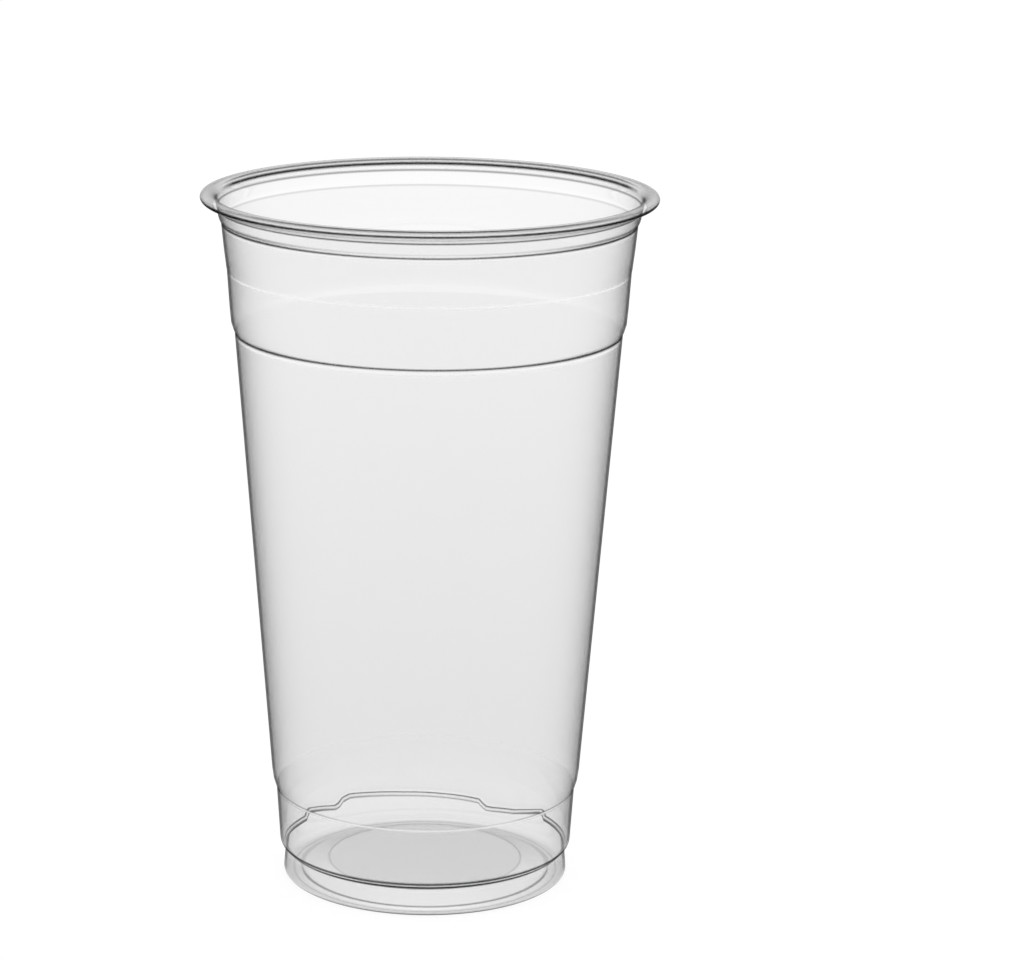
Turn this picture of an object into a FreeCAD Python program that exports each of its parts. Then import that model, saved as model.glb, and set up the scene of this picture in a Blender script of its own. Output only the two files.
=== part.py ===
import FreeCAD, Part
import math
import os

# Clear disposable cup, one thin-walled moulding, in millimetres.
# The centre of the base rests on the origin, +Z up.

# whole cup
height = 151.9
rim_diameter = 97.8
wall = 0.28

# rolled rim: the wall rolls outward over a crown and is turned in below
lip_width = 3.5
roll_radius = 1.55
nose_radius = 0.7
nose_drop = 0.9
underside_angle = 25.0
tail_gap = 0.4

# neck, from the rim down to its crease
neck_height = 6.1
neck_flare = 0.35
neck_step = 0.6
neck_rise = 1.4

# second band below the rim
second_band_height = 10.3
second_band_spread = 0.8
second_band_step = 0.4
second_band_rise = 2.5

# first band, above the main wall
first_band_height = 13.4
first_band_spread = 0.7
first_band_step = 0.9
first_band_rise = 3.2

# main wall, as tall as the bands and the foot leave it
main_wall_spread = 7.8
main_wall_step = 0.95
main_wall_rise = 3.65

# lower band, above the foot
lower_band_height = 13.55
lower_band_spread = 0.8
lower_band_step = 1.3
lower_band_rise = 1.4

# foot, narrower at its top than at its bottom
foot_height = 6.4
foot_undercut = 0.45
foot_corner = 0.9

# floor: resting bead, its inner slope, a low cone and the raised disc
bead_width = 2.25
bead_slope_width = 1.2
bead_slope_rise = 0.6
cone_width = 5.7
cone_rise = 1.6


def point(place):
    return FreeCAD.Vector(place[0], 0, place[1])


def line(start, end):
    return Part.LineSegment(point(start), point(end)).toShape()


def arc(centre, radius, start, end):
    """Arc about a centre from one angle to another, in degrees from +X."""
    places = []
    for angle in (start, (start + end) / 2, end):
        turn = math.radians(angle)
        places.append((centre[0] + radius * math.cos(turn), centre[1] + radius * math.sin(turn)))
    return Part.Arc(*[point(place) for place in places]).toShape()


def bulge(crease, top, above):
    """Arc from a crease out to the wall above, which it meets smoothly."""
    lean = math.atan2(above[0] - top[0], above[1] - top[1])
    inward = (-math.cos(lean), math.sin(lean))
    chord = (crease[0] - top[0], crease[1] - top[1])
    along = chord[0] * inward[0] + chord[1] * inward[1]
    radius = (chord[0] ** 2 + chord[1] ** 2) / (2 * along)
    centre = (top[0] + radius * inward[0], top[1] + radius * inward[1])
    start = math.degrees(math.atan2(crease[1] - centre[1], crease[0] - centre[0]))
    return arc(centre, radius, start, math.degrees(-lean))


# the neck leaves its bulge on a tangent to the roll
mouth_radius = rim_diameter / 2 - lip_width
roll_centre = (mouth_radius + roll_radius, height - roll_radius)
neck_base = (mouth_radius - neck_flare, height - neck_height + neck_rise)
reach = math.dist(neck_base, roll_centre)
to_centre = math.atan2(roll_centre[0] - neck_base[0], roll_centre[1] - neck_base[1])
neck_lean = to_centre - math.asin((roll_radius - wall) / reach)
mouth = (
    roll_centre[0] - (roll_radius - wall) * math.cos(neck_lean),
    roll_centre[1] + (roll_radius - wall) * math.sin(neck_lean),
)

# creases from the neck down, each with the foot of the wall above it
neck_crease = (neck_base[0] - neck_step, height - neck_height)
second_base_radius = neck_crease[0] - second_band_spread
middle_crease = (second_base_radius - second_band_step, neck_crease[1] - second_band_height)
second_base = (second_base_radius, middle_crease[1] + second_band_rise)
first_base_radius = middle_crease[0] - first_band_spread
upper_crease = (first_base_radius - first_band_step, middle_crease[1] - first_band_height)
first_base = (first_base_radius, upper_crease[1] + first_band_rise)
main_base_radius = upper_crease[0] - main_wall_spread
lower_crease = (main_base_radius - main_wall_step, foot_height + lower_band_height)
main_base = (main_base_radius, lower_crease[1] + main_wall_rise)
lower_base_radius = lower_crease[0] - lower_band_spread
foot_crease = (lower_base_radius - lower_band_step, foot_height)
lower_base = (lower_base_radius, foot_height + lower_band_rise)

# the floor, from the foot in to the axis
foot_radius = foot_crease[0] + foot_undercut
foot_centre = (foot_radius - foot_corner, foot_corner)
bead_outer = (foot_centre[0], 0)
bead_inner = (bead_outer[0] - bead_width, 0)
cone_foot = (bead_inner[0] - bead_slope_width, bead_slope_rise)
disc_edge = (cone_foot[0] - cone_width, cone_foot[1] + cone_rise)
disc_centre = (0, disc_edge[1])

# the rim: crown, nose, and the underside turned in to the tail
nose_centre = (rim_diameter / 2 - nose_radius, height - nose_drop)
span = nose_centre[0] - roll_centre[0]
crown_radius = (span**2 + nose_drop**2 - nose_radius**2) / (2 * (nose_drop - nose_radius))
crown_centre = (roll_centre[0], height - crown_radius)
crown_end = math.degrees(math.atan2(nose_centre[1] - crown_centre[1], span))
slope = math.radians(underside_angle)
nose_end = (
    nose_centre[0] + (nose_radius - wall) * math.sin(slope),
    nose_centre[1] - (nose_radius - wall) * math.cos(slope),
)
tail_radius = mouth_radius + wall + tail_gap
tail = (tail_radius, nose_end[1] - (nose_end[0] - tail_radius) * math.tan(slope))

# outside of the wall from the axis to the tail; in the rim it is the inside
outline = [
    line(disc_centre, disc_edge),
    line(disc_edge, cone_foot),
    line(cone_foot, bead_inner),
    line(bead_inner, bead_outer),
    arc(foot_centre, foot_corner, -90, 0),
    line((foot_radius, foot_corner), foot_crease),
    bulge(foot_crease, lower_base, lower_crease),
    line(lower_base, lower_crease),
    bulge(lower_crease, main_base, upper_crease),
    line(main_base, upper_crease),
    bulge(upper_crease, first_base, middle_crease),
    line(first_base, middle_crease),
    bulge(middle_crease, second_base, neck_crease),
    line(second_base, neck_crease),
    bulge(neck_crease, neck_base, mouth),
    line(neck_base, mouth),
    arc(roll_centre, roll_radius - wall, 180 - math.degrees(neck_lean), 90),
    arc(crown_centre, crown_radius - wall, 90, crown_end),
    arc(nose_centre, nose_radius - wall, crown_end, underside_angle - 90),
    line(nose_end, tail),
]

# the wall lies on the left of the outline, then turns about the axis
section = Part.Wire(outline).makeOffset2D(wall, fill=True, openResult=True)
cup = section.revolve(FreeCAD.Vector(0, 0, 0), FreeCAD.Vector(0, 0, 1), 360)

os.makedirs("parts", exist_ok=True)
cup.exportStep("parts/cup.step")
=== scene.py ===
import math
from functools import partial

import bpy
import numpy as np
from mathutils import Matrix


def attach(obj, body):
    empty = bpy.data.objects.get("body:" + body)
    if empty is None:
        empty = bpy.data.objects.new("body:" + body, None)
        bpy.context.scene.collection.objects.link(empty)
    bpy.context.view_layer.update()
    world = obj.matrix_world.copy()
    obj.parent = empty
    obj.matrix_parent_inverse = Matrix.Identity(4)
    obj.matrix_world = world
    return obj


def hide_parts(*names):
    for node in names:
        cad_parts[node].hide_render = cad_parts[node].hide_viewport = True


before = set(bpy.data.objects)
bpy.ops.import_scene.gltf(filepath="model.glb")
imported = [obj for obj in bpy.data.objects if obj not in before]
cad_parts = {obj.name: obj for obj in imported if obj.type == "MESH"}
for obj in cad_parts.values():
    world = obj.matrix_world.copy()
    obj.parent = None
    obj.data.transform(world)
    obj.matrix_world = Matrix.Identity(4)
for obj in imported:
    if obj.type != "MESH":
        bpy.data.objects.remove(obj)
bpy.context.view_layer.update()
print("frame loaded, nodes:", ", ".join(sorted(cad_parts)))

mm = 0.001


def linearColour(hexText):
    # sRGB hex to linear light, with the standard's two-part curve
    parts = [int(hexText[i : i + 2], 16) / 255 for i in (1, 3, 5)]
    return tuple(p / 12.92 if p <= 0.04045 else ((p + 0.055) / 1.055) ** 2.4 for p in parts) + (1.0,)


def addNode(tree, kind, sockets=(), **settings):
    # a node with its settings; its sockets come as a list in order, or as a dictionary by name or number,
    # and a value that is a node (its first output) or an output is linked
    node = tree.nodes.new("ShaderNode" + kind)
    for name, value in settings.items():
        setattr(node, name, value)
    for key, value in sockets.items() if isinstance(sockets, dict) else enumerate(sockets):
        if isinstance(value, bpy.types.Node):
            value = value.outputs[0]
        if isinstance(value, bpy.types.NodeSocket):
            tree.links.new(value, node.inputs[key])
        else:
            node.inputs[key].default_value = value
    return node


def nodesOf(owner):
    # clears the nodes of a material or a world, and gives addNode for its tree
    owner.use_nodes = True
    owner.node_tree.nodes.clear()
    return partial(addNode, owner.node_tree)


def makePiece(name, vertices, faces, attributes=None, normals=None, smooth=True):
    # one mesh object at the origin, in metres, with any values per vertex as attributes
    mesh = bpy.data.meshes.new(name)
    mesh.from_pydata(vertices.tolist(), [], faces)
    for key, values in (attributes or {}).items():
        layer = mesh.attributes.new(key, "FLOAT", "POINT")
        layer.data.foreach_set("value", np.asarray(values, np.float32))
    mesh.polygons.foreach_set("use_smooth", np.full(len(mesh.polygons), smooth))
    if normals is not None:
        mesh.normals_split_custom_set_from_vertices(normals.tolist())
    mesh.update()
    piece = bpy.data.objects.new(name, mesh)
    bpy.context.scene.collection.objects.link(piece)
    return piece


def ringPoints(profile, columns):
    # each point of a profile turned about the axis: (r cos t, r sin t, z) for every angle t
    angle = np.linspace(0, 2 * np.pi, columns, endpoint=False)
    radius, height = profile[:, :1], np.repeat(profile[:, 1:], columns, 1)
    return np.stack([radius * np.cos(angle), radius * np.sin(angle), height], 2)


# the cup's section, in mm; the same sizes as the solid's
cup = {
    "height": 151.9,
    "rimDiameter": 97.8,
    "wall": 0.28,
    "lipWidth": 3.5,
    "rollRadius": 1.55,
    "noseRadius": 0.7,
    "noseDrop": 0.9,
    "undersideAngle": 25.0,
    "tailGap": 0.4,
    "tailCap": 0.35,  # share of the wall by which the tail's edge is rounded
    "neckHeight": 6.1,
    "neckFlare": 0.35,
    "neckStep": 0.6,
    "neckRise": 1.4,
    "secondBand": {"height": 10.3, "spread": 0.8, "step": 0.4, "rise": 2.5},
    "firstBand": {"height": 13.4, "spread": 0.7, "step": 0.9, "rise": 3.2},
    "mainWall": {"spread": 7.8, "step": 0.95, "rise": 3.65},
    "lowerBand": {"height": 13.55, "spread": 0.8, "step": 1.3, "rise": 1.4},
    "footHeight": 6.4,
    "footUndercut": 0.45,
    "footCorner": 0.9,
    "beadWidth": 2.25,
    "beadSlope": (1.2, 0.6),
    "cone": (5.7, 1.6),
    "softness": 0.14,  # rounding of every crease, as a blur along the section
    "columns": 200,  # round the cup
    "rows": 245,  # along each face of the wall
    "rowsAtTurns": 8.0,  # share of the rows for each radian that the section turns
    "rowsOnRuns": 0.25,  # for each mm of plain wall
    "rowsOnLines": 3.6,  # and, on top of that, for each half width of a painted line
    "rowsReach": 2.6,  # half widths over which these spread
}

# painted shade lines at the creases, where the real sheet bends light away; each lies on a face of the wall
# from a named point of the section, so many mm along it towards the rim: how strong it looks to an eye on
# that side, and its half width in mm; a line keeps its strength, widens or fades as its face turns away from
# the eye
creaseShadeLines = {
    "keeps": {
        "crownShade": {"point": "crown", "along": -0.55, "face": "inner", "strength": 0.22, "width": 0.9},
        "throat": {"point": "throat", "along": -1.16, "face": "inner", "strength": 0.62, "width": 0.25},
        "neckTop": {"point": "throat", "along": -1.55, "face": "outer", "strength": 0.85, "width": 0.2},
        "neckInside": {"point": "neck", "along": 0.1, "face": "inner", "strength": 0.25, "width": 0.2},
        "shoulder": {"point": "lowerBase", "along": -0.37, "face": "outer", "strength": 0.95, "width": 0.33},
        "foot": {"point": "foot", "along": -0.07, "face": "outer", "strength": 1.0, "width": 0.25},
        "footTop": {"point": "foot", "along": 0.6, "face": "outer", "strength": 1.0, "width": 0.38},
        "bead": {"point": "bead", "along": 0.05, "face": "outer", "strength": 0.93, "width": 0.42},
        "disc": {"point": "disc", "along": 0.0, "face": "inner", "strength": 0.18, "width": 0.2},
    },
    "widens": {
        "nose": {"point": "nose", "along": 0.09, "face": "inner", "strength": 0.97, "width": 0.13},
        "neck": {"point": "neck", "along": -0.19, "face": "outer", "strength": 0.84, "width": 0.2},
        "neckShade": {"point": "neck", "along": 0.7, "face": "outer", "strength": 0.03, "width": 0.19},
        "upper": {"point": "upper", "along": -0.08, "face": "outer", "strength": 0.88, "width": 0.23},
        "lower": {"point": "lower", "along": 0.1, "face": "outer", "strength": 0.03, "width": 0.24},
        "footInside": {"point": "foot", "along": -0.32, "face": "inner", "strength": 0.45, "width": 0.16},
    },
    "fades": {
        "crown": {"point": "crown", "along": -0.85, "face": "inner", "strength": 0.78, "width": 0.3},
        "crownEdge": {"point": "crown", "along": 0.98, "face": "inner", "strength": 1.0, "width": 0.58},
        "roll": {"point": "throat", "along": 0.32, "face": "inner", "strength": 1.0, "width": 0.37},
        "shoulderInside": {"point": "foot", "along": 0.36, "face": "inner", "strength": 0.88, "width": 0.22},
        "beadInside": {"point": "coneFoot", "along": 2.3, "face": "inner", "strength": 0.3, "width": 0.25},
        "coneFoot": {"point": "coneFoot", "along": 0.32, "face": "inner", "strength": 0.66, "width": 0.25},
    },
}

# painted highlight lines where the creases gather light; each is white diffuse on its own face, and lets more
# through on the other
paintedHighlightLines = {
    "underside": {"point": "underside", "along": 0.0, "face": "inner", "strength": 0.5, "width": 0.6},
    "neckEdge": {"point": "neck", "along": -0.64, "face": "outer", "strength": 0.85, "width": 0.28},
    "middle": {"point": "middle", "along": -0.24, "face": "outer", "strength": 0.65, "width": 0.26},
    "upperEdge": {"point": "upper", "along": -0.72, "face": "outer", "strength": 1.0, "width": 0.4},
    "lower": {"point": "lower", "along": -0.02, "face": "outer", "strength": 0.9, "width": 0.27},
    "lowerInside": {"point": "lower", "along": 0.0, "face": "inner", "strength": 0.15, "width": 0.27},
    "footEdge": {"point": "foot", "along": -0.75, "face": "outer", "strength": 0.3, "width": 0.3},
}
lineReach = 2.2  # half widths from its middle at which a line ends

# zones of the section, each as stops: a named point, so many mm along from it, and the value there; the
# floor's disc is etched, the wall's edges take painted shade, and the floor's cone mirrors less, which paints
# it lighter
sheetZones = {
    "frost": (("disc", -0.2, 1.0), ("disc", 0.1, 0.0)),
    "wall": (("bead", 0.0, 0.0), ("bead", 0.8, 1.0), ("throat", 0.3, 1.0), ("throat", 1.0, 0.0)),
    "cone": (("disc", 0.3, 0.0), ("disc", 0.9, 1.0), ("coneFoot", -0.9, 1.0), ("coneFoot", -0.3, 0.0)),
}

# unevenness of the foot's crease on the far side: degrees from the far point, clockwise from above,
# and lift in mm
footWobble = {
    "lifts": (
        (-85, 0.0), (-68, -0.45), (-61, -0.45), (-59, 1.1), (-50, 0.2), (-42, -0.7), (-40, -0.5),
        (-38, 0.7), (-34, 1.3), (-22, 0.7), (-10, 0.2), (0, 0.0), (16, -0.4), (24, -0.7), (26, -2.2),
        (30, -2.2), (41, -1.5), (50, -0.2), (59, 1.3), (61, 0.0),
    ),
    "reach": 3.0,  # mm up and down the wall
    "wallFrom": 29.0,  # mm from the axis, within which the floor stays flat
    "restingEnd": 0.5,  # mm up, below which nothing moves
    "easeIn": 3.0,  # mm further up to the full lift
}


def arcPoints(centre, radius, start, end, count=40):
    # points on a circle from one angle to another, in degrees
    turn = np.radians(np.linspace(start, end, count))
    return np.stack([centre[0] + radius * np.cos(turn), centre[1] + radius * np.sin(turn)], 1)


def bulgePoints(crease, top, above):
    # a circle through the crease, tangent at its top to the wall that runs on to the next point above
    crease, top, above = map(np.array, (crease, top, above))
    along = (above - top) / np.linalg.norm(above - top)
    inward = np.array([-along[1], along[0]])
    chord = crease - top
    radius = chord @ chord / (2 * chord @ inward)
    centre = top + radius * inward
    start = math.degrees(math.atan2(*(crease - centre)[::-1]))
    end = math.degrees(math.atan2(*(-inward)[::-1]))
    return arcPoints(centre, radius, start, end)


def cupOutline(c):
    # the outside of the wall from the axis to the rim's tail, which in the rolled rim is the underside, as
    # straight runs and arcs, with the points that the lines and zones are placed from
    mouthRadius = c["rimDiameter"] / 2 - c["lipWidth"]
    height, wall = c["height"], c["wall"]
    rollCentre = np.array([mouthRadius + c["rollRadius"], height - c["rollRadius"]])
    neckBase = np.array([mouthRadius - c["neckFlare"], height - c["neckHeight"] + c["neckRise"]])
    toCentre = rollCentre - neckBase
    neckLean = math.atan2(*toCentre) - math.asin((c["rollRadius"] - wall) / np.linalg.norm(toCentre))
    mouth = rollCentre + (c["rollRadius"] - wall) * np.array([-math.cos(neckLean), math.sin(neckLean)])

    neck = np.array([neckBase[0] - c["neckStep"], height - c["neckHeight"]])
    second, first, main, lower = (c[k] for k in ("secondBand", "firstBand", "mainWall", "lowerBand"))
    middle = np.array([neck[0] - second["spread"] - second["step"], neck[1] - second["height"]])
    secondBase = middle + [second["step"], second["rise"]]
    upper = np.array([middle[0] - first["spread"] - first["step"], middle[1] - first["height"]])
    firstBase = upper + [first["step"], first["rise"]]
    shelf = np.array([upper[0] - main["spread"] - main["step"], c["footHeight"] + lower["height"]])
    mainBase = shelf + [main["step"], main["rise"]]
    foot = np.array([shelf[0] - lower["spread"] - lower["step"], c["footHeight"]])
    lowerBase = foot + [lower["step"], lower["rise"]]

    footRadius = foot[0] + c["footUndercut"]
    footCentre = np.array([footRadius - c["footCorner"], c["footCorner"]])
    beadInner = np.array([footCentre[0] - c["beadWidth"], 0.0])
    coneFoot = beadInner + [-c["beadSlope"][0], c["beadSlope"][1]]
    discEdge = coneFoot + [-c["cone"][0], c["cone"][1]]

    # the crown's circle is level above the roll's centre, and the nose's touches it from inside
    drop, noseRadius = c["noseDrop"], c["noseRadius"]
    noseCentre = np.array([c["rimDiameter"] / 2 - noseRadius, height - drop])
    span = noseCentre[0] - rollCentre[0]
    crownRadius = (span**2 + drop**2 - noseRadius**2) / (2 * (drop - noseRadius))
    crownCentre = np.array([rollCentre[0], height - crownRadius])
    crownEnd = math.degrees(math.atan2(noseCentre[1] - crownCentre[1], span))
    slope = math.radians(c["undersideAngle"])
    noseEnd = noseCentre + (noseRadius - wall) * np.array([math.sin(slope), -math.cos(slope)])
    tailRadius = mouthRadius + wall + c["tailGap"]
    tail = np.array([tailRadius, noseEnd[1] - (noseEnd[0] - tailRadius) * math.tan(slope)])

    runs = [
        [[0.0, discEdge[1]], discEdge],
        [discEdge, coneFoot],
        [coneFoot, beadInner],
        [beadInner, [footCentre[0], 0.0]],
        arcPoints(footCentre, c["footCorner"], -90, 0),
        [[footRadius, c["footCorner"]], foot],
        bulgePoints(foot, lowerBase, shelf),
        [lowerBase, shelf],
        bulgePoints(shelf, mainBase, upper),
        [mainBase, upper],
        bulgePoints(upper, firstBase, middle),
        [firstBase, middle],
        bulgePoints(middle, secondBase, neck),
        [secondBase, neck],
        bulgePoints(neck, neckBase, mouth),
        [neckBase, mouth],
        arcPoints(rollCentre, c["rollRadius"] - wall, 180 - math.degrees(neckLean), 90),
        arcPoints(crownCentre, crownRadius - wall, 90, crownEnd),
        arcPoints(noseCentre, noseRadius - wall, crownEnd, c["undersideAngle"] - 90),
        [noseEnd, tail],
    ]
    points = {
        "disc": discEdge,
        "coneFoot": coneFoot,
        "bead": footCentre + c["footCorner"] * np.array([0.6, -0.8]),  # 53 degrees below level
        "foot": foot,
        "lowerBase": lowerBase,
        "lower": shelf,
        "upper": upper,
        "middle": middle,
        "neck": neck,
        "throat": rollCentre - [c["rollRadius"] - wall, 0.0],
        "crown": rollCentre + [0.0, c["rollRadius"] - wall],
        "nose": noseCentre + [noseRadius - wall, 0.0],
        "underside": (noseEnd + tail) / 2,
    }
    return np.concatenate([np.asarray(run, float) for run in runs]), points


def alongLine(points):
    # distance run along a line of points
    return np.concatenate([[0.0], np.cumsum(np.linalg.norm(np.diff(points, axis=0), axis=1))])


def roundedOutline(points, softness, step=0.04):
    # the outline resampled every step mm and blurred with a bell curve out to four times the softness, its
    # ends in place; each point's unit normal is the left of the blurred line's own direction
    run = alongLine(points)
    keep = np.concatenate([[True], np.diff(run) > 1e-9])
    fine = np.arange(0, run[-1], step)
    line = np.stack([np.interp(fine, run[keep], points[keep][:, k]) for k in (0, 1)], 1)
    reach = int(4 * softness / step)
    bell = np.exp(-0.5 * (np.arange(-reach, reach + 1) * step / softness) ** 2)
    bell /= bell.sum()
    before, after = line[reach:0:-1], line[-2 : -reach - 2 : -1]
    padded = np.concatenate([2 * line[0] - before, line, 2 * line[-1] - after])
    soft = np.stack([np.convolve(padded[:, k], bell, "valid") for k in (0, 1)], 1)
    ahead = np.gradient(soft, axis=0)
    ahead /= np.linalg.norm(ahead, axis=1, keepdims=True)
    return soft, np.stack([-ahead[:, 1], ahead[:, 0]], 1), alongLine(soft)


def lineShape(offset, width):
    # one at the middle of a line, down to nothing at its end e, lineReach half widths away: (1 - (x / e)^2)^4
    return np.clip(1 - (offset / (lineReach * width)) ** 2, 0.0, 1.0) ** 4


def chosenRows(left, run, busy):
    # fractional places along the fine line, closer together where it turns and across each line painted on
    # it, where the crowding is onLine / w * e^-(x / (reach * w))^4 for a half width w
    heading = np.unwrap(np.arctan2(left[:, 1], left[:, 0]))
    onLine, reach = cup["rowsOnLines"], cup["rowsReach"]
    crowd = [onLine / width * np.exp(-(((run - place) / (reach * width)) ** 4)) for place, width in busy]
    onRuns = np.gradient(run) * (cup["rowsOnRuns"] + np.max(crowd, axis=0))
    share = np.cumsum(np.abs(np.gradient(heading)) * cup["rowsAtTurns"] + onRuns)
    share = (share - share[0]) / (share[-1] - share[0])
    return np.interp(np.linspace(0, 1, cup["rows"]), share, np.arange(len(run)))


def cupSection(lines):
    # outer face from the axis to the rim's tail, the tail's cap, then the inner face back to the axis, one
    # wall apart; with the way each point faces, its distance along the outline, and the named points' own
    outline, points = cupOutline(cup)
    soft, left, run = roundedOutline(outline, cup["softness"])
    at = {name: run[np.argmin(np.linalg.norm(soft - point, axis=1))] for name, point in points.items()}
    busy = [(at[line["point"]] + line["along"], line["width"]) for turn, line in lines]
    pick = chosenRows(left, run, busy)
    whole = np.arange(len(run))
    outer, left = (np.stack([np.interp(pick, whole, v[:, k]) for k in (0, 1)], 1) for v in (soft, left))
    run = np.interp(pick, whole, run)
    outer[0, 0] = 0.0
    outer[:, 1] = np.maximum(outer[:, 1], 0.0)
    inner = outer + cup["wall"] * left
    inner[0, 0] = 0.0
    tailWay = np.array([left[-1, 1], -left[-1, 0]])
    cap = (outer[-1] + inner[-1]) / 2 + tailWay * cup["wall"] * cup["tailCap"]
    section = np.concatenate([outer, cap[None], inner[::-1]])
    facing = np.concatenate([-left, tailWay[None], left[::-1]])
    return section, facing, np.concatenate([run, run[-1:], run[::-1]]), at


def sheetValues(lines, there, at):
    # for each point of the section, the strongest line of every kind on its face, and its place in each zone
    isInner = np.arange(len(there)) > cup["rows"]
    values = {name: np.zeros(len(there)) for name in (*creaseShadeLines, "pale", "paleBehind")}
    for turn, line in lines:
        shape = line["strength"] * lineShape(there - at[line["point"]] - line["along"], line["width"])
        onFace = isInner == (line["face"] == "inner")
        values[turn] = np.maximum(values[turn], shape * onFace)
        if turn == "pale":
            values["paleBehind"] = np.maximum(values["paleBehind"], shape * ~onFace)
    for name, stops in sheetZones.items():
        places = [at[point] + along for point, along, value in stops]
        values[name] = np.interp(there, places, [value for point, along, value in stops])
    return values


def turned(section, columns):
    # the rings of a section, then its first and its last point, which lie on the axis
    ends = [[0, 0, section[0, 1]], [0, 0, section[-1, 1]]]
    return np.concatenate([ringPoints(section[1:-1], columns).reshape(-1, 3), ends])


def turnedFaces(rows, columns):
    # quads between neighbouring rings, and a fan round the axis at either end
    index = np.arange(rows * columns).reshape(rows, columns)
    side = np.roll(index, -1, 1)
    quads = np.stack([index[:-1], side[:-1], side[1:], index[1:]], 2).reshape(-1, 4).tolist()
    first, last = rows * columns, rows * columns + 1
    under = [(first, b, a) for a, b in zip(index[0].tolist(), side[0].tolist())]
    over = [(last, a, b) for a, b in zip(index[-1].tolist(), side[-1].tolist())]
    return quads + under + over


def wobbled(vertices):
    # lifts the wall near the foot's crease by an amount that changes with the angle from the far side, and
    # falls off above and below as e^-(distance / reach)^2
    w = footWobble
    lifts = np.array(w["lifts"], float)
    angle = np.degrees(np.arctan2(vertices[:, 0], vertices[:, 1]))
    lift = np.interp(angle, lifts[:, 0], lifts[:, 1])
    radius, height = np.hypot(vertices[:, 0], vertices[:, 1]), vertices[:, 2]
    near = np.exp(-(((height - cup["footHeight"]) / w["reach"]) ** 2)) * (radius > w["wallFrom"])
    near *= np.clip((height - w["restingEnd"]) / w["easeIn"], 0.0, 1.0)
    moved = vertices.copy()
    moved[:, 2] += lift * near
    return moved


def buildCup():
    # the section turned about the axis, with its values on every vertex
    groups = {**creaseShadeLines, "pale": paintedHighlightLines}
    lines = [(turn, line) for turn, group in groups.items() for line in group.values()]
    section, facing, there, at = cupSection(lines)
    values = sheetValues(lines, there, at)
    columns = cup["columns"]
    vertices = wobbled(turned(section, columns))
    faces = turnedFaces(len(section) - 2, columns)
    spread = {name: np.concatenate([np.repeat(v[1:-1], columns), v[[0, -1]]]) for name, v in values.items()}
    return makePiece("cupShell", vertices * mm, faces, spread, turned(facing, columns))


# thermoformed clear PET: thin glossy sheet that lets light straight through and mirrors more and more
# towards its edges; painted shade darkens its mirror at the edges and lies on its creases, where the real
# sheet bends light away, and painted highlight lines lie where the creases gather light
clearPet = {
    "tints": {
        "clear": "#FEFEFE",
        "footTint": "#FBFBFB",  # a touch darker near the foot
        # painted shade on the crease lines
        "crease": "#0A0A0B",
        # painted highlight on the highlight lines
        "pale": "#FFFFFF",
        "frost": "#FBFBFB",  # of the etched floor
        "mirror": "#FFFFFF",
        # painted shade on the mirror at the wall's edges
        "edge": "#6C6C6E",
    },
    "footTintLow": 30.0,  # mm up, where the darker tint near the foot starts to clear
    "footTintHigh": 120.0,
    "creaseSpread": 2.4,  # how much a widening crease grows as it turns from the eye
    "creaseLimit": 0.15,  # the least power that its value is raised to
    "edgeOnFrom": 0.8,  # share of the turn away from the eye at which it starts to weaken
    "edgeOnCrease": 0.6,  # strength left of it where its face is edge on
    "fadeStart": 0.58,  # share of the turn over which a fading crease goes
    "fadeEnd": 0.77,
    "paleStart": 0.62,  # the same for a pale line
    "paleEnd": 0.9,
    "paleShare": 0.8,  # of a painted highlight line that is white diffuse
    "edgeStart": 0.83,  # share of the turn at which the painted edge shade starts
    "edgeEnd": 0.91,
    "headOnMirror": 0.049,  # share mirrored head on, from an IOR of 1.57
    "coneMirrorCut": 0.75,  # share of the mirror taken off the floor's cone, which paints it lighter
    "roughness": 0.03,
    "frostRoughness": 0.2,
    "waveWidth": 9.0,  # mm round the wall, from uneven stretching in the mould
    "waveHeight": 60.0,  # mm up the wall
    "waveDepth": 0.1,  # mm
    "waveStrength": 0.25,
    "grain": 0.5,  # mm, coarser than the real etched grain, so that it shows
    "grainSpan": (0.3, 0.7),  # of the noise, over which the frost thins
    "grainLeft": 0.85,  # share of the frost where it is thinnest
}


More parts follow.
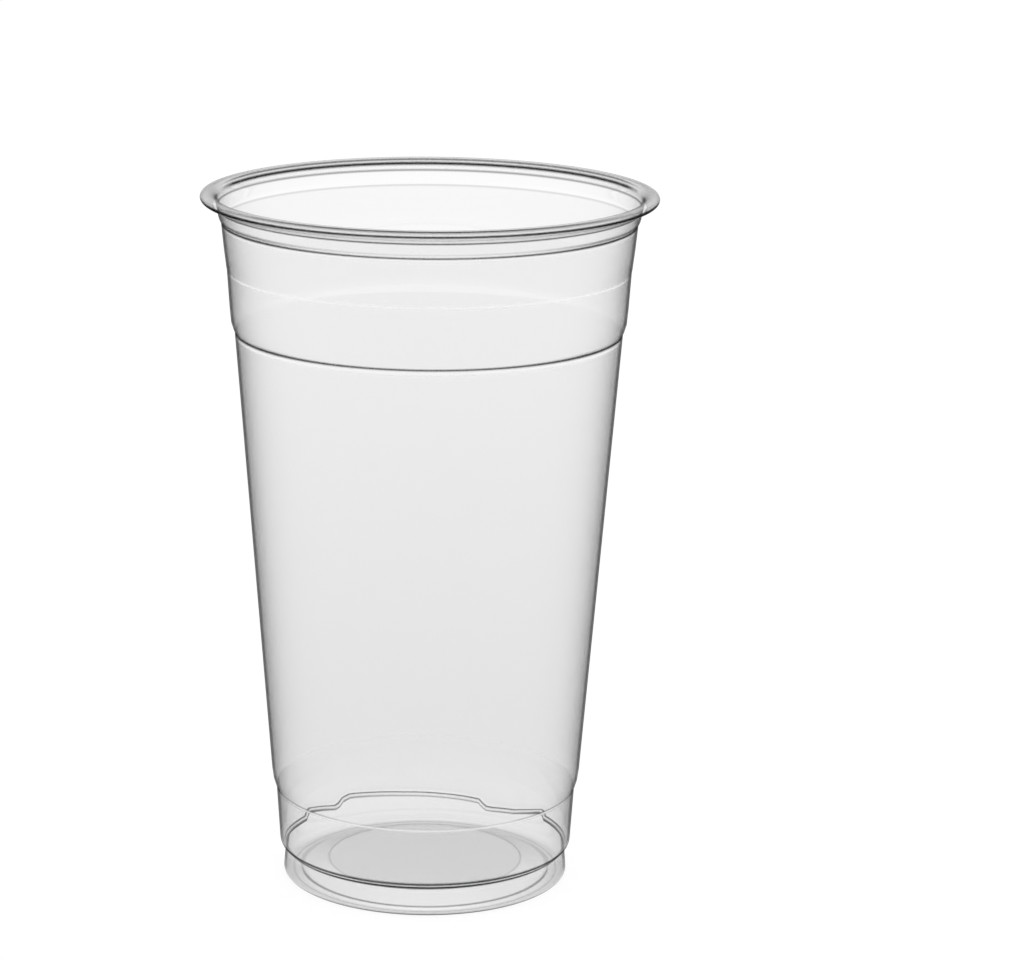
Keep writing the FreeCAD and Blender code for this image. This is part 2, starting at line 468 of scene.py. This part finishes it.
def makeClearPet():
    m = clearPet
    tint = {name: linearColour(hexText) for name, hexText in m["tints"].items()}
    material = bpy.data.materials.new("thermoformedClearPet")
    node = nodesOf(material)
    names = (*creaseShadeLines, "pale", "paleBehind", *sheetZones)
    on = {name: node("Attribute", attribute_name=name).outputs["Fac"] for name in names}

    place = node("TexCoord").outputs["Object"]
    around, up = 1 / (m["waveWidth"] * mm), 1 / (m["waveHeight"] * mm)
    stretch = node("Mapping", {"Vector": place, "Scale": (around, around, up)})
    waves = node("TexNoise", {"Vector": stretch, "Scale": 1.0, "Detail": 0.0})
    bump = node("Bump", {"Height": waves, "Strength": m["waveStrength"], "Distance": m["waveDepth"] * mm})
    height = node("SeparateXYZ", [place]).outputs["Z"]
    facing = node("LayerWeight", {"Blend": 0.5}).outputs["Facing"]  # 0 head on, 1 edge on
    away = node("NewGeometry").outputs["Backfacing"]
    near = node("Math", [1.0, away], operation="SUBTRACT")

    # a crease's painted shade shows on the face that is turned to the eye; one that widens is its value
    # raised to a power that sinks as the face turns away (a Map Range takes a value, two ends, and what it
    # gives at each)
    turn = node("Math", [1.0, facing], operation="SUBTRACT")
    turn = node("Math", [turn, m["creaseSpread"]], operation="POWER")
    turn = node("Math", [turn, m["creaseLimit"]], operation="MAXIMUM")
    strength = node("MapRange", [facing, 1.0, m["edgeOnFrom"], m["edgeOnCrease"], 1.0])
    widened = node("Math", [on["widens"], turn], operation="POWER")
    widened = node("Math", [widened, strength], operation="MULTIPLY")
    faded = node("MapRange", [facing, m["fadeEnd"], m["fadeStart"], 0.0, 1.0])
    faded = node("Math", [on["fades"], faded], operation="MULTIPLY")
    dark = node("Math", [widened, faded], operation="MAXIMUM")
    dark = node("Math", [on["keeps"], dark], operation="MAXIMUM")
    dark = node("Math", [dark, near], operation="MULTIPLY")

    # painted highlight of a line on the near face and on the far one
    paleTurn = node("MapRange", [facing, m["paleEnd"], m["paleStart"], 0.0, 1.0])
    paleNear = node("Math", [on["pale"], near], operation="MULTIPLY")
    paleNear = node("Math", [paleNear, paleTurn], operation="MULTIPLY")
    paleFar = node("Math", [on["paleBehind"], away], operation="MULTIPLY")
    pale = node("Math", [paleNear, paleFar], operation="ADD")

    # frost of the floor's disc
    grain = node("TexNoise", {"Vector": place, "Scale": 1 / (m["grain"] * mm)})
    grain = node("MapRange", [grain, *m["grainSpan"], m["grainLeft"], 1.0])
    frost = node("Math", [on["frost"], grain], operation="MULTIPLY")

    # what passes through the sheet, layer over layer: a touch darker near the foot, clear on the painted
    # highlight lines, frosted on the disc, and darkened with painted shade on the crease lines
    risen = node("MapRange", [height, m["footTintLow"] * mm, m["footTintHigh"] * mm, 0.0, 1.0])
    through = tint["footTint"]
    for share, name in ((risen, "clear"), (pale, "clear"), (frost, "frost"), (dark, "crease")):
        through = node("Mix", {0: share, 6: through, 7: tint[name]}, data_type="RGBA").outputs[2]
    clear = node("BsdfTransparent", {"Color": through})

    # what it mirrors: head on share + rest * facing^5
    mirror = node("Math", [facing, 5.0], operation="POWER")
    mirror = node("MapRange", [mirror, 0.0, 1.0, m["headOnMirror"], 1.0])
    # less mirror on the painted highlight lines, which paints them lighter
    unpaled = node("Math", [1.0, pale], operation="SUBTRACT")
    mirror = node("Math", [mirror, unpaled], operation="MULTIPLY")
    # less mirror on the floor's cone, which paints it lighter
    coneMirrorLeft = node("MapRange", [on["cone"], 0.0, 1.0, 1.0, 1.0 - m["coneMirrorCut"]])
    mirror = node("Math", [mirror, coneMirrorLeft], operation="MULTIPLY")
    # painted shade: the mirror's tint darkens at the wall's edges, and on the crease lines
    turnedAway = node("MapRange", [facing, m["edgeStart"], m["edgeEnd"], 0.0, 1.0])
    turnedAway = node("Math", [turnedAway, on["wall"]], operation="MULTIPLY")
    shine = tint["mirror"]
    for share, name in ((turnedAway, "edge"), (dark, "crease")):
        shine = node("Mix", {0: share, 6: shine, 7: tint[name]}, data_type="RGBA").outputs[2]
    rough = node("MapRange", [frost, 0.0, 1.0, m["roughness"], m["frostRoughness"]])
    gloss = node("BsdfAnisotropic", {"Color": shine, "Roughness": rough, "Normal": bump})

    sheet = node("MixShader", [mirror, clear, gloss])
    # painted highlight: white diffuse mixed in on the near face of each highlight line
    paintedHighlightDiffuse = node("BsdfDiffuse", {"Color": tint["pale"]})
    paled = node("Math", [paleNear, m["paleShare"]], operation="MULTIPLY")
    sheet = node("MixShader", [paled, sheet, paintedHighlightDiffuse])
    node("OutputMaterial", {"Surface": sheet})
    return material


cupShell = buildCup()
cupShell.data.materials.append(makeClearPet())
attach(cupShell, "root")
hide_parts("cup")
print("cup built:", len(cupShell.data.polygons), "faces")


plainWhite = linearColour("#FFFFFF")


def seenByEye(node):
    # 1 on what the camera sees, straight, in glossy surfaces or through clear ones
    path = node("LightPath").outputs
    seen = node("Math", [path["Is Camera Ray"], path["Is Glossy Ray"]], operation="MAXIMUM")
    return node("Math", [seen, path["Is Transmission Ray"]], operation="MAXIMUM")


# matt painted floor, which glows for the eye alone, so that it looks white
floorSheet = {
    "size": 6.0,  # m
    "drop": 0.0002,  # m below the cup
    "colour": "#E6E6E6",
    "glowShare": 0.86,  # of what the eye sees that the lamps don't give
    "glow": 1.05,
}


def makeFloor():
    f = floorSheet
    half = f["size"] / 2
    square = ((-half, -half), (half, -half), (half, half), (-half, half))
    corners = np.array([[x, y, -f["drop"]] for x, y in square])
    floor = makePiece("floor", corners, [(0, 1, 2, 3)], smooth=False)
    material = bpy.data.materials.new("paintedFloor")
    node = nodesOf(material)
    paint = node("BsdfDiffuse", {"Color": linearColour(f["colour"])})
    glow = node("Emission", {"Color": plainWhite, "Strength": f["glow"]})
    lit = node("MixShader", [f["glowShare"], paint, glow])
    both = node("MixShader", [seenByEye(node), paint, lit])
    node("OutputMaterial", {"Surface": both})
    floor.data.materials.append(material)


# a round glowing tray, no lamp, with a hole for the cup, seen only in glossy surfaces, which paints the
# reflections in the clear wall: pale near the hole, dark further out, and paler again up its high rim; sizes
# in metres, and 1 is as bright as the white world
cardTray = {
    "hole": 0.0315,  # radius of the white floor left free round the foot
    "darkFrom": 0.06,  # radius from which the card is at its darkest
    "radius": 0.15,
    "lift": 0.0001,
    "height": 0.42,
    "paleUp": (0.13, 0.22),  # heights between which its rim turns pale
    "nearHole": 0.38,  # how bright it is there
    "dark": 0.25,
    "rim": 0.85,
    "sides": 64,
}


def makeCards():
    c = cardTray
    profile = np.array([[c["hole"], c["lift"]], [c["radius"], c["lift"]], [c["radius"], c["height"]]])
    index = np.arange(len(profile) * c["sides"]).reshape(len(profile), -1)
    ahead = np.roll(index, -1, 1)
    faces = np.stack([index[:-1], index[1:], ahead[1:], ahead[:-1]], 2).reshape(-1, 4).tolist()
    cards = makePiece("reflectionGlowCards", ringPoints(profile, c["sides"]).reshape(-1, 3), faces, smooth=False)
    material = bpy.data.materials.new("reflectionGlowCard")
    node = nodesOf(material)
    place = node("TexCoord").outputs["Object"]
    flat = node("VectorMath", [place, (1, 1, 0)], operation="MULTIPLY")
    radius = node("VectorMath", [flat], operation="LENGTH").outputs["Value"]
    height = node("SeparateXYZ", [place]).outputs["Z"]
    outward = [radius, c["hole"], c["darkFrom"], c["nearHole"], c["dark"]]
    upward = [height, *c["paleUp"], 0.0, c["rim"] - c["dark"]]
    parts = [node("MapRange", numbers, interpolation_type="SMOOTHSTEP") for numbers in (outward, upward)]
    shade = node("Math", parts, operation="ADD")
    # painted reflection: the tray glows, though it is no lamp
    glow = node("Emission", {"Color": plainWhite, "Strength": shade})
    node("OutputMaterial", {"Surface": glow})
    cards.data.materials.append(material)
    cards.visible_camera = cards.visible_diffuse = cards.visible_transmission = cards.visible_shadow = False


worldFill = 0.82  # brightness of the world as a light, where the eye sees it as 1


def makeWorld():
    world = bpy.data.worlds.new("studioWhite")
    node = nodesOf(world)
    white = node("Background", {"Color": plainWhite, "Strength": 1.0})
    fill = node("Background", {"Color": plainWhite, "Strength": worldFill})
    both = node("MixShader", [seenByEye(node), fill, white])
    node("OutputWorld", {"Surface": both})
    bpy.context.scene.world = world


# soft boxes, places and sizes in metres and power in watts
lamps = {
    "topBox": {"place": (0.0, 0.3, 2.6), "size": 1.6, "power": 9.0},
    "leftBox": {"place": (-2.0, -1.0, 1.6), "size": 1.2, "power": 9.0},
    "rightBox": {"place": (2.0, -0.6, 1.5), "size": 1.2, "power": 9.0},
}
lampTarget = (0.0, 0.0, 0.07)  # near the middle of the cup


def makeLamps():
    for name, lamp in lamps.items():
        data = bpy.data.lights.new(name, "AREA")
        data.shape = "SQUARE"
        data.size = lamp["size"]
        data.energy = lamp["power"]
        light = bpy.data.objects.new(name, data)
        bpy.context.scene.collection.objects.link(light)
        back = np.array(lamp["place"]) - lampTarget
        back /= np.linalg.norm(back)
        side = np.cross([0.0, 1.0, 0.0] if abs(back[2]) > 0.9 else [0.0, 0.0, 1.0], back)
        side /= np.linalg.norm(side)
        turn = Matrix(np.column_stack([side, np.cross(back, side), back]).tolist())
        light.matrix_world = Matrix.Translation(lamp["place"]) @ turn.to_4x4()


# solved from the outline of the rim, the creases and the foot in the photograph; metres, degrees and mm
cameraSetup = {
    "place": (0.0, -0.774, 0.2821),
    "tiltDown": 14.03,
    "roll": 0.44,
    "lens": 131.0,
    "sensor": 36.0,
    "shiftX": 0.0769,  # share of the picture's width
    "clip": (0.01, 50.0),
}


def makeCamera():
    c = cameraSetup
    data = bpy.data.cameras.new("photoCamera")
    data.lens = c["lens"]
    data.sensor_width = c["sensor"]
    data.shift_x = c["shiftX"]
    data.clip_start, data.clip_end = c["clip"]
    camera = bpy.data.objects.new("photoCamera", data)
    bpy.context.scene.collection.objects.link(camera)
    look = Matrix.Rotation(math.radians(90 - c["tiltDown"]), 4, "X")
    roll = Matrix.Rotation(math.radians(c["roll"]), 4, "Z")
    camera.matrix_world = Matrix.Translation(c["place"]) @ look @ roll
    bpy.context.scene.camera = camera


makeFloor()
makeCards()
makeWorld()
makeLamps()
makeCamera()
scene = bpy.context.scene
scene.view_settings.view_transform = "Standard"
scene.cycles.transparent_max_bounces = 48  # a line of sight crosses the thin wall many times
scene.cycles.glossy_bounces = 8
print("floor, cards, world, lamps and camera set")
